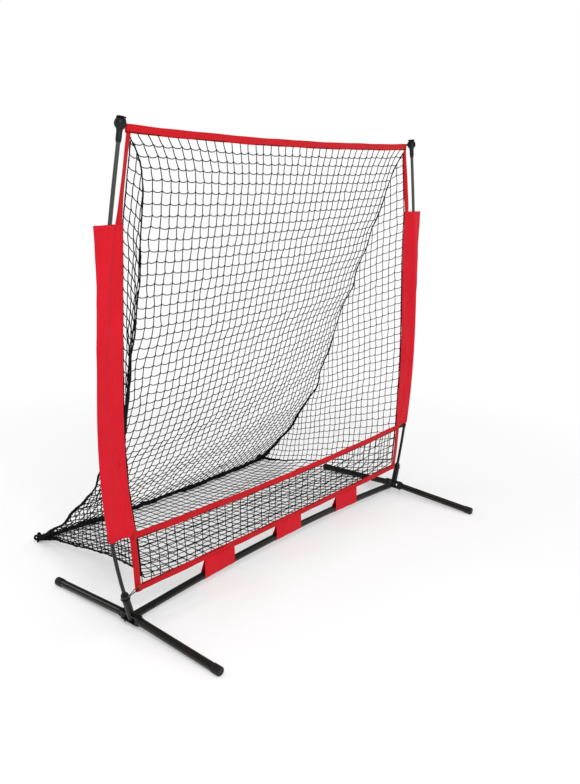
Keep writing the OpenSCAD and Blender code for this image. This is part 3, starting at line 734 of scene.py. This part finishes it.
def panel_surfaces(lines):
    """Surface grids of the five net panels, before they sag."""
    grid = 44
    panels = {"back": coons(*(resample(lines[k], grid) for k in ("top", "rear", "seam_left", "seam_right")))}
    for side in SIDES:
        floor, band, seam = (lines[f"{line}_{side}"] for line in ("floor", "band", "seam"))
        corner = np.repeat(seam[:1], 18, axis=0)
        panels[side] = coons(corner, resample(floor, 18), resample(band, 36), resample(seam, 36))
    # The floor's front edge follows the bottom band and rises to the side panels' corners at its ends
    front_edge = resample(np.vstack([lines["floor_left"][:1], lines["low"], lines["floor_right"][:1]]), grid)
    share = np.abs(np.linspace(-1, 1, grid))[:, None] ** 10
    lift = np.array([0, 0, floor_corner("left")[2] - lines["low"][0][2]])
    front_edge[1:-1] += (share * lift)[1:-1]
    panels["floor"] = coons(
        front_edge, resample(lines["rear"], grid),
        resample(lines["floor_left"], 22), resample(lines["floor_right"], 22),
    )
    ends = [resample(np.array([lines["lip"][k], lines["low"][k]]), 8) for k in (0, -1)]
    panels["front"] = coons(resample(lines["lip"], grid), resample(lines["low"], grid), *ends)
    return panels


def make_netting(lines):
    panels = panel_surfaces(lines)
    panels = drape(panels)
    columns = round(path_length(lines["top"]) / CELL)
    drop = path_length(lines["seam_left"]) / 2 + path_length(lines["seam_right"]) / 2
    net_panel("back", panels["back"], columns, round(drop / CELL * ROW_GATHER))
    net_panel("floor", panels["floor"], columns, round(FLOOR_RUN / CELL), (0.02, 0.05))
    net_panel("front", panels["front"], columns, FRONT_ROWS, (0.08, 0.05))
    for side in SIDES:
        surface = panels[side]
        spans = np.array([path_length(row) for row in surface])
        rows = round(path_length(surface[:, 0]) / CELL * ROW_GATHER)
        net_panel(side, surface, round(spans[-1] / CELL * SIDE_GATHER), rows, runs=spans / spans[-1])


# -------- ropes along the seams

# Radius at the start and at the end, how late it grows, strands, their share of the radius,
# turns for each metre, and how far the bundle strays
SEAM_ROPE = (2.4 * MM, 8.5 * MM, 4, 5, 0.5, 45, 1.6 * MM)
LACING_ROPE = (1.3 * MM, 3.6 * MM, 0.7, 4, 0.5, 60, 0.6 * MM)
REAR_BUNCH = (11 * MM, 11 * MM, 1, 14, 0.24, 14, 2.6 * MM)
LUMP_PITCH = 45 * MM


def add_rope(build, path, kind):
    """Bundle of twisted strands along a seam, with lumps where it is tied."""
    start, end, growth, strands, share, turns, stray = kind
    path = resample(path, max(12, int(path_length(path) / (7 * MM))))
    side, normal = path_frames(path)
    along = distances(path)
    lumps = np.linspace(0, along[-1], max(8, int(along[-1] / LUMP_PITCH)))
    radius = start + (end - start) * (along / along[-1]) ** growth
    radius = radius * np.interp(along, lumps, NOISE.uniform(0.75, 1.35, len(lumps)))
    marks = np.linspace(0, along[-1], 40)
    drift = [np.interp(along, marks, NOISE.normal(0, stray, 40)) for _ in range(2)]
    for k in range(strands):
        phase = math.tau * (k / strands + along * turns)
        spread = radius * (0.55 + 0.12 * np.sin(along * 31 + k))
        line = (
            path
            + (spread * np.cos(phase) + drift[0])[:, None] * side
            + (spread * np.sin(phase) + drift[1])[:, None] * normal
        )
        line[:, 2] = np.maximum(line[:, 2], GROUND_CLEAR)
        add_tube(build, line, radius * share, 5)


def add_tie(build, tip, size=14 * MM):
    """Loose knot where the ropes of one rear corner are tied together."""
    t = np.linspace(0, math.tau, 120, endpoint=False)
    loops = np.stack([np.sin(3 * t), 0.9 * np.sin(4 * t + 0.6), 0.4 + 0.8 * np.sin(5 * t + 1.1)], axis=1)
    path = tip + loops * size
    path[:, 2] = np.maximum(path[:, 2], GROUND_CLEAR)
    add_tube(build, path, 4.2 * MM, 6, closed=True)


def make_seams(lines):
    for side in SIDES:
        for node, line in (("side_seam", "seam"), ("floor_seam", "floor")):
            path = lines[f"{line}_{side}"]
            build = Build()
            add_rope(build, path, SEAM_ROPE)
            for point in resample(path, int(path_length(path) / CELL))[1:-1]:
                add_knot(build, point)
            soft_piece(build, f"{node}_{side}_rope", ROPE, "black_netting", f"{node}_{side}")
        build = Build()
        add_rope(build, lines[f"band_{side}"][1:], LACING_ROPE)
        soft_piece(build, f"edge_lacing_{side}", ROPE, "black_netting")
    build = Build()
    add_rope(build, lines["rear"], REAR_BUNCH)
    for tip in (lines["rear"][0], lines["rear"][-1]):
        add_tie(build, tip)
    soft_piece(build, "rear_seam_rope", ROPE, "black_netting", "rear_seam")


# -------- bands, tabs and sleeves

EYELET_BORE = 2.8 * MM
# Radius of the middle of an eyelet's rolled rim, and the rim's half width and half height
EYELET_RIM = (4.4 * MM, 1.6 * MM, 1.1 * MM)
# How far the ends of the level bands run on, one thickness in front of the side bands
BAND_REACH = {"top_band": 0.0, "pocket_lip": 20 * MM, "bottom_band": 22 * MM}
SIDE_BAND_TURN = math.radians(24)


def eyelet_centre(side):
    """Middle of the eyelet in a lower corner of the net."""
    low, high = corners("corner_eyelets")
    return np.array([SIDES[side] * (high[0] - (high[2] - low[2]) / 2), BAND_Y, (low[2] + high[2]) / 2])


def punch(obj, centre, radius):
    """Cuts a round hole along Y through a piece."""
    cutter = Build()
    reach = np.array([0, 12 * MM, 0])
    add_tube(cutter, [centre - reach, centre + reach], radius, 24)
    tool = cutter.make("punch", RED)
    hole = obj.modifiers.new("hole", "BOOLEAN")
    hole.object = tool
    shape = bpy.data.meshes.new_from_object(obj.evaluated_get(bpy.context.evaluated_depsgraph_get()))
    obj.modifiers.clear()
    obj.data = shape
    bpy.data.objects.remove(tool)


def make_eyelets():
    """Brass eyelets through the lower corners of the tape: a tube with a rolled rim on each face."""
    build = Build()
    front, rear = -BAND_T * 1.55, BAND_T * 0.5
    middle_r, half_w, half_h = EYELET_RIM
    turns = np.linspace(0, math.pi, 9)
    profile = [(EYELET_BORE - 0.5 * MM, (front + rear) / 2)]
    profile += [(middle_r + half_w * math.cos(a), rear + half_h * math.sin(a)) for a in turns[::-1]]
    profile += [(middle_r + half_w * math.cos(a), front - half_h * math.sin(a)) for a in turns]
    for side in SIDES:
        centre = eyelet_centre(side)
        rings = [
            [centre + np.array([r * math.cos(a), y, r * math.sin(a)]) for r, y in profile]
            for a in np.linspace(0, math.tau, 36, endpoint=False)
        ]
        add_loft(build, rings, closed=True)
    soft_piece(build, "corner_eyelet_rings", BRASS, "brass_eyelet", "corner_eyelets")


def make_level_band(node):
    """Bound tape along the net's top, lip or bottom, with two rows of stitches on each face."""
    path = centre_line(node, 0, 120, (0.0005, 0.9995))
    reach = BAND_REACH[node]
    if reach:
        slope = unit(path[-1] - path[-2])
        tuck = np.array([0, -BAND_T * 1.05, 0])
        ends = [path[-1] + slope * 4 * MM + tuck, path[-1] + slope * reach + tuck]
        flipped = [p * np.array([-1, 1, 1]) for p in ends]
        path = np.vstack([flipped[::-1], path, ends])
    width = extent(node, 0, 0.0, 2)
    along = path[:, 0] - path[0, 0]
    path[:, 1] += 0.5 * MM * np.sin(along * 23) + 0.3 * MM * np.sin(along * 71 + 1)
    path[:, 2] += 0.5 * MM * np.sin(along * 17 + 2)
    band = Build()
    add_band(band, path, width + 0.7 * MM * np.sin(along * 41), BAND_T, (0, 0, 1))
    tape = soft_piece(band, f"{node}_tape", RED_TAPE, "red_fabric", node)
    if node == "bottom_band":
        for side in SIDES:
            punch(tape, eyelet_centre(side), EYELET_BORE)
    rows = [
        (path + [0, face * BAND_T * 0.52, share * width], (0, face, 0))
        for face in (-1, 1) for share in (-0.36, 0.36)
    ]
    thread_piece(f"{node}_stitches", rows)


def make_side_band(side):
    """Tape down the net's side. Above the sleeve it is turned a little and goes up behind the top band."""
    node, sign = f"side_band_{side}", SIDES[side]
    low, high = corners(node)
    z = np.linspace(high[2] - 0.5 * MM, low[2] + 0.5 * MM, 150)
    path = np.array([middle(node, 2, value) for value in z])
    width = np.array([extent(node, 2, value, 0) for value in z])
    path[:, 1] += 0.8 * MM * np.sin(z * 19) + 0.4 * MM * np.sin(z * 53)
    slope = (path[0] - path[4]) / (path[0] - path[4])[2]
    tucked = [path[0] + slope * up * MM + [0, BAND_T, 0] for up in (22, 12, 4)]
    path, width = np.vstack([tucked, path]), np.concatenate([[width[0]] * 3, width])
    sleeve_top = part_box(f"sleeve_{side}")[1][2]
    free = np.clip((path[:, 2] - sleeve_top) / (high[2] - sleeve_top), 0, 1)
    turn = SIDE_BAND_TURN * np.sin(math.pi * free) ** 0.7
    across = np.stack([np.cos(turn), -sign * np.sin(turn), np.zeros(len(turn))], axis=1)
    facing = np.stack([sign * np.sin(turn), np.cos(turn), np.zeros(len(turn))], axis=1)
    band = Build()
    add_band(band, path, width, BAND_T * 0.9, across)
    tape = soft_piece(band, f"{node}_tape", RED_SIDE_TAPE, "red_fabric", node)
    punch(tape, eyelet_centre(side), EYELET_BORE)
    rows = [
        (path + across * (share * width)[:, None] + facing * face * BAND_T * 0.47, (0, face, 0))
        for face in (-1, 1) for share in (-0.34, 0.34)
    ]
    thread_piece(f"{node}_stitches", rows)


def pole_centre(side, z):
    """Middle of the pole at a height."""
    for node in (f"pole_lower_{side}", f"pole_upper_{side}"):
        low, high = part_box(node)
        if low[2] <= z <= high[2]:
            return middle(node, 2, z)
    return middle(f"pole_upper_{side}", 2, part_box(f"pole_upper_{side}")[0][2] + MM)


def smooth(value):
    value = min(max(value, 0.0), 1.0)
    return value * value * (3 - 2 * value)


SLEEVE_SEAT = 27 * MM
SLEEVE_FLAT, SLEEVE_RISE = 2.7 * MM, 8.7 * MM
SLEEVE_CLOTH = 0.7 * MM
SLEEVE_HEM = 14 * MM
TAB_CLOTH = 1.1 * MM
# Folds of the cloth: height in mm, then turns up the sleeve, across it and from side to side
SLEEVE_FOLDS = ((2.4, 7.5, 5.0, 0.7), (1.7, 17, -8, 1.3), (0.7, 47, 17, 1), (0.3, 90, -31, 0))


def sleeve_section(d, width, pole, set_back, t, sign):
    """Middle and half thickness of a sleeve at a distance d from its inner edge, a share t of the way up.

    It is flat over the side band, raised over the pole and softly folded between them.
    """
    outer_run = max(width - pole, 9 * MM)
    run = 24 * MM if d < pole else min(outer_run - 3.5 * MM, 24 * MM)
    hump = 1 - smooth((abs(d - pole) - 4 * MM) / run)
    free = smooth((d - 20 * MM) / (14 * MM)) * smooth((pole - 6 * MM - d) / (10 * MM))
    free = max(free, smooth((d - pole - 6 * MM) / (10 * MM)) * 0.8)
    s = d / width
    fold = sum(h * MM * math.sin(up * t + over * s + shift * sign) for h, up, over, shift in SLEEVE_FOLDS)
    middle_y = set_back * (1 - smooth((d - SLEEVE_SEAT) / (pole - SLEEVE_SEAT - 8 * MM)))
    return middle_y + fold * free * (1 - hump), SLEEVE_FLAT + (SLEEVE_RISE - SLEEVE_FLAT) * hump


def sleeve_ring(width, pole, set_back, inset, t, sign, count):
    """Closed outline of a sleeve's section, measured from its inner edge."""
    ring = []
    for k in range(count):
        angle = math.tau * k / count
        face = -1 if math.sin(angle) < 0 else 1
        d = inset + (width - 2 * inset) * (1 - math.cos(angle)) / 2
        end = min(d - inset, width - inset - d)
        corner = math.sqrt(max(0.0, 1 - (1 - min(end / (3 * MM), 1)) ** 2))
        y, half = sleeve_section(d, width, pole, set_back, t, sign)
        ring.append((d, y + face * (half - inset) * corner))
    return ring


def sleeve_place(side, z):
    """A sleeve at z: inner edge, width, pole's distance from that edge, set-back, share of the height."""
    low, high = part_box(f"sleeve_{side}")
    level = min(max(z, low[2] + MM), high[2] - MM)
    inner = np.abs(cut(f"sleeve_{side}", 2, level)[:, 0]).min()
    set_back = middle(f"side_band_{side}", 2, level)[1] - FRAME_Y
    pole = abs(pole_centre(side, level)[0]) - inner
    share = (z - low[2]) / (high[2] - low[2])
    return inner, extent(f"sleeve_{side}", 2, level, 0), pole, set_back, share


def make_sleeve(side):
    """Flat fabric tube over a pole: it bulges where the pole runs and folds softly along its length."""
    node = f"sleeve_{side}"
    sign = SIDES[side]
    low, high = (c[2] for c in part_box(node))
    levels, around = 150, 96
    layers = []
    for inset in (0.0, SLEEVE_CLOTH):
        rings = []
        for z in np.linspace(low, high, levels + 1):
            inner, width, pole, set_back, t = sleeve_place(side, z)
            ring = sleeve_ring(width, pole, set_back, inset, t, sign, around)
            rings.append([(sign * (inner + x), FRAME_Y + y, z) for x, y in ring])
        layers.append(np.array(rings))
    outside, inside = layers
    faces = ring_faces(levels + 1, around)
    build = Build()
    build.add(outside.reshape(-1, 3), faces)
    build.add(inside.reshape(-1, 3), [f[::-1] for f in faces])
    total = (levels + 1) * around
    for level, order in ((0, 1), (levels, -1)):
        for k in range(around):
            a, b = level * around + k, level * around + (k + 1) % around
            build.faces.append((a, a + total, b + total, b)[::order])
    soft_piece(build, f"{node}_cloth", RED, "red_fabric", node)
    hem = round(SLEEVE_HEM / (high - low) * levels)
    edge = round(around * 0.09)
    rows = []
    for face in (-1, 1):
        half = slice(around // 2 + 2, around - 1) if face < 0 else slice(2, around // 2 - 1)
        for path in (outside[hem, half], outside[levels - hem, half], outside[:, face * edge]):
            rows.append((path + [0, face * 0.3 * MM, 0], (0, face, 0)))
    thread_piece(f"{node}_stitches", rows)


def tab_outline(x, steps=7):
    """Path of a tab's cloth in the plane at x: from the bottom band, round the crossbar and back up."""
    value = math.copysign(max(min(abs(x), 0.7), MM), x)
    bar_node = "crossbar_left" if x < 0 else "crossbar_right"
    bar = middle(bar_node, 0, value)[1:]
    radius = extent(bar_node, 0, value, 1) / 2 + 0.9 * MM
    top_z = middle("bottom_band", 0, x)[2] - BAND_H * 0.28

    def leg(face):
        start = BAND_Y + face * BAND_T * 0.75
        return [
            (start + (bar[0] + face * radius - start) * t ** 1.3 + face * 0.8 * MM * math.sin(math.pi * t),
             top_z + (bar[1] - top_z) * t)
            for t in np.arange(steps) / steps
        ]

    bend = [bar + radius * np.array([math.cos(a), math.sin(a)]) for a in np.linspace(math.pi, math.tau, 15)]
    return np.array(leg(-1) + bend + leg(1)[::-1])


def make_tab(name):
    """Wide loop of cloth sewn to the bottom band and passed round the crossbar."""
    node = f"tab_{name}"
    low, high = (c[0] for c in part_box(node))
    xs = np.linspace(low + 0.2 * MM, high - 0.2 * MM, 27)
    outer, inner = [], []
    for x in xs:
        outline = tab_outline(x)
        normal = unit(np.gradient(outline, axis=0) @ np.array([[0, -1], [1, 0]]))
        share = np.linspace(0, 1, len(outline))
        loose = np.sin(math.pi * share) ** 0.5
        ripple = 0.7 * MM * np.sin(x * 60 + share * 9) * (1 - loose) + 0.5 * MM * np.sin(x * 95 + share * 5)
        lift = np.maximum(ripple, -0.2 * MM)[:, None]
        column = np.full(len(outline), x)
        outer.append(np.column_stack([column, outline - normal * (TAB_CLOTH + lift)]))
        inner.append(np.column_stack([column, outline - normal * lift]))
    outer, inner = np.array(outer), np.array(inner)
    rings = np.concatenate([outer, inner[:, ::-1]], axis=1)
    build = Build()
    k = rings.shape[1]
    build.add(rings.reshape(-1, 3), ring_faces(len(xs), k))
    for base, order in ((0, 1), ((len(xs) - 1) * k, -1)):
        for j in range(k // 2 - 1):
            face = (base + j, base + j + 1, base + k - 2 - j, base + k - 1 - j)
            build.faces.append(face[::order])
    soft_piece(build, f"{node}_cloth", RED, "red_fabric", node)
    rows = [outer[:, share] + [0, -0.35 * MM, -2 * MM] for share in (0, 1)]
    rows += [outer[edge][1:7] + [0, -0.3 * MM, 0] for edge in (1, -2)]
    thread_piece(f"{node}_stitches", [(row, (0, -1, 0)) for row in rows])


# -------- straps, cords and loops

CORD_R, RING_R = 1.5 * MM, 1.4 * MM


def arc(centre, radius, angles, sign):
    """Points of a level arc; sign is -1 to mirror it from left to right."""
    return [centre + radius * np.array([sign * math.cos(a), math.sin(a), 0]) for a in angles]


def make_lip_strap(side):
    """Webbing loop from the side band round the pole: two plies together, then open round the pole."""
    node = f"lip_strap_{side}"
    sign = SIDES[side]
    low, high = (c[2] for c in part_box(node))
    z = (low + high) / 2
    pole = pole_centre(side, z)
    start, reach = np.abs(cut(node, 2, z)[:, 0]).min() + 1 * MM, abs(pole[0])
    inner, width, pole_d, set_back, t = sleeve_place(side, z)
    ply, radius, opens = 0.8 * MM, 6.9 * MM, 14 * MM
    lean = (pole_centre(side, z + 10 * MM)[0] - pole_centre(side, z - 10 * MM)[0]) / (20 * MM)

    def leg(face):
        points = []
        for x in start + (reach - start) * np.arange(20) / 20:
            spread = ply + (radius - ply) * smooth((x - reach + opens) / opens) ** 0.8
            middle_y, _ = sleeve_section(x - inner, width, pole_d, set_back, t, sign)
            points.append(np.array([sign * x, FRAME_Y + middle_y + face * spread, z]))
        return points

    bend = arc(pole, radius, np.linspace(-math.pi / 2, math.pi / 2, 17), sign)
    path = resample(leg(-1) + bend + leg(1)[::-1], 110)
    path[:, 2] = z - (path[:, 0] - pole[0]) * lean
    build = Build()
    add_band(build, path, high - low - 5 * MM, 1.1 * MM, (lean, 0, 1))
    soft_piece(build, f"{node}_web", BLACK_WEB, "black_webbing", node)


def make_top_loop(side):
    """Elastic loop from the net's top corner over the ball's shoulder and round the neck of its crown."""
    node = f"top_loop_{side}"
    sign = SIDES[side]
    knob = f"pole_knob_{side}"
    ball = middle(knob, 2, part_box(knob)[1][2] - 19 * MM)
    ball_r = extent(knob, 2, ball[2], 1) / 2
    loop_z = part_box(node)[1][2] - 2 * MM
    neck_r = extent(knob, 2, loop_z, 1) / 2 + 1.7 * MM
    top_y = middle("top_band", 0, 0.0)[1]
    corner = np.array([sign * (TOP_HIGH[0] - 3 * MM), top_y, TOP_HIGH[2] - BAND_H * 0.3])
    leg = [corner] + [
        ball + (ball_r + 1.8 * MM) * np.array([-sign * math.cos(a), 0, math.sin(a)])
        for a in (math.radians(18), math.radians(34))
    ]
    ring = arc(middle(knob, 2, loop_z), neck_r, math.radians(140) * (1 - np.arange(21) / 10), sign)
    off = np.array([0, 2 * MM, 0])
    path = [p + off for p in leg] + ring + [p - off for p in leg[::-1]]
    build = Build()
    add_tube(build, resample(path, 80), CORD_R, 8)
    soft_piece(build, f"{node}_elastic", CORD, "black_webbing", node)


def make_bottom_cord(side):
    """Elastic cord through the corner eyelet, down to the socket and round it."""
    node = f"bottom_cord_{side}"
    sign = SIDES[side]
    eye = eyelet_centre(side)
    ring_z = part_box(node)[0][2] + 6 * MM
    socket = np.array([middle(f"hub_{side}", 2, ring_z)[0], FRAME_Y, ring_z])
    radius = extent(f"hub_{side}", 2, ring_z, 1) / 2 + 1.6 * MM
    lean = math.radians(15)
    wide, drop = sign * 0.98 / math.cos(lean), -0.9 * math.tan(lean)
    ring = [
        socket + radius * np.array([wide * math.cos(a), math.sin(a), drop * math.cos(a)])
        for a in np.linspace(0, math.tau, 28, endpoint=False)
    ]
    build = Build()
    add_tube(build, ring, RING_R, 8, closed=True)
    near = socket - np.array([sign * radius, 0, -2 * MM])

    def leg(face):
        off = np.array([
            (0, face * 2, 0), (0, face * 4, -2), (sign * 4, face * 6.4, -4), (0, face * 4.6, 0),
        ]) * MM
        return list(np.array([near, (near + eye) / 2, eye, eye]) + off)

    add_tube(build, resample(leg(-1) + leg(1)[::-1], 60), CORD_R, 8)
    soft_piece(build, f"{node}_elastic", CORD, "black_webbing", node)


# -------- stage, light and camera


def make_stage():
    """Pale floor that fades to plain white away from the object."""
    floor = add_square("floor", 60.0, 0)
    n = Nodes("pale_floor")
    shade = n.noise(1.5, 3.0)
    pale = n.mix(shade, rgb(246, 246, 246), rgb(250, 250, 250))
    n.surface(Base_Color=pale, Roughness=0.8, Specular_IOR_Level=0.1)
    away = n.tree.nodes.new("ShaderNodeVectorMath")
    away.operation = "LENGTH"
    n.put(away.inputs[0], n.coords)
    fade = n.new("ShaderNodeMapRange", Value=away.outputs["Value"], From_Min=1.0, From_Max=2.6, To_Min=0.25)
    fade.interpolation_type = "SMOOTHSTEP"
    white = n.new("ShaderNodeEmission", Color=(1, 1, 1, 1))
    blend = n.tree.nodes.new("ShaderNodeMixShader")
    n.put(blend.inputs[0], fade.outputs["Result"])
    n.put(blend.inputs[1], n.shader.outputs["BSDF"])
    n.put(blend.inputs[2], white.outputs["Emission"])
    n.put(n.tree.nodes["Material Output"].inputs["Surface"], blend.outputs["Shader"])
    floor.data.materials.append(n.material)


def area_light(name, place_at, aim, size, power):
    data = bpy.data.lights.new(name, "AREA")
    data.shape = "RECTANGLE"
    data.size, data.size_y = size
    data.energy = power
    obj = link(name, data)
    obj.location = place_at
    obj.rotation_mode = "QUATERNION"
    obj.rotation_quaternion = (Vector(aim) - Vector(place_at)).to_track_quat("-Z", "Y")


def make_light():
    """Soft white studio: an even sky, dimmer in reflections, and four area lights."""
    world = bpy.data.worlds.new("studio")
    bpy.context.scene.world = world
    world.use_nodes = True
    tree = world.node_tree
    sky = tree.nodes["Background"]
    sky.inputs["Color"].default_value = (1, 1, 1, 1)
    ray = tree.nodes.new("ShaderNodeLightPath")

    def weighted(output, weight, rest):
        made = tree.nodes.new("ShaderNodeMath")
        made.operation = "MULTIPLY_ADD"
        tree.links.new(ray.outputs[output], made.inputs[0])
        made.inputs[1].default_value, made.inputs[2].default_value = weight, rest
        return made

    seen, mirrored = weighted("Is Camera Ray", 0.44, 0.56), weighted("Is Glossy Ray", -0.35, 0)
    tree.links.new(seen.outputs[0], mirrored.inputs[2])
    tree.links.new(mirrored.outputs[0], sky.inputs["Strength"])
    area_light("key", (-2.6, -3.2, 3.6), (0, 0, 0.7), (1.4, 1.4), 115)
    area_light("fill", (3.4, -2.2, 2.4), (0, 0, 0.7), (2.0, 1.4), 20)
    area_light("top", (0, 0.5, 4.5), (0, 0, 0.5), (3.0, 3.0), 45)
    area_light("rim", (-2.4, 3.4, 2.6), (0, 0, 0.3), (2.4, 1.0), 30)
    bpy.context.scene.view_settings.view_transform = "Standard"
    bpy.context.scene.view_settings.look = "None"


def make_camera():
    """Camera at the picture's viewing angle: low, from the front left."""
    yaw, pitch, roll = math.radians(50.58), math.radians(15.45), math.radians(1.31)
    stand = Vector((-2.193, FRAME_Y - 1.804, 1.403))
    forward = Vector((math.sin(yaw) * math.cos(pitch), math.cos(yaw) * math.cos(pitch), -math.sin(pitch)))
    right = Vector((math.cos(yaw), -math.sin(yaw), 0))
    up = right.cross(forward)
    right, up = right * math.cos(roll) + up * math.sin(roll), up * math.cos(roll) - right * math.sin(roll)
    data = bpy.data.cameras.new("camera")
    data.lens = 36.82
    data.sensor_width = 36.0
    data.clip_start, data.clip_end = 0.05, 60.0
    camera = link("camera", data)
    camera.matrix_world = Matrix.Translation(stand) @ Matrix((right, up, -forward)).transposed().to_4x4()
    bpy.context.scene.camera = camera


finish_cad_nodes()
net_lines = border_lines()
make_netting(net_lines)
make_seams(net_lines)
for band_node in BAND_REACH:
    make_level_band(band_node)
make_eyelets()
for tab_name in ("left", "centre", "right"):
    make_tab(tab_name)
for side_name in SIDES:
    make_side_band(side_name)
    make_sleeve(side_name)
    make_lip_strap(side_name)
    make_top_loop(side_name)
    make_bottom_cord(side_name)
make_stage()
make_light()
make_camera()
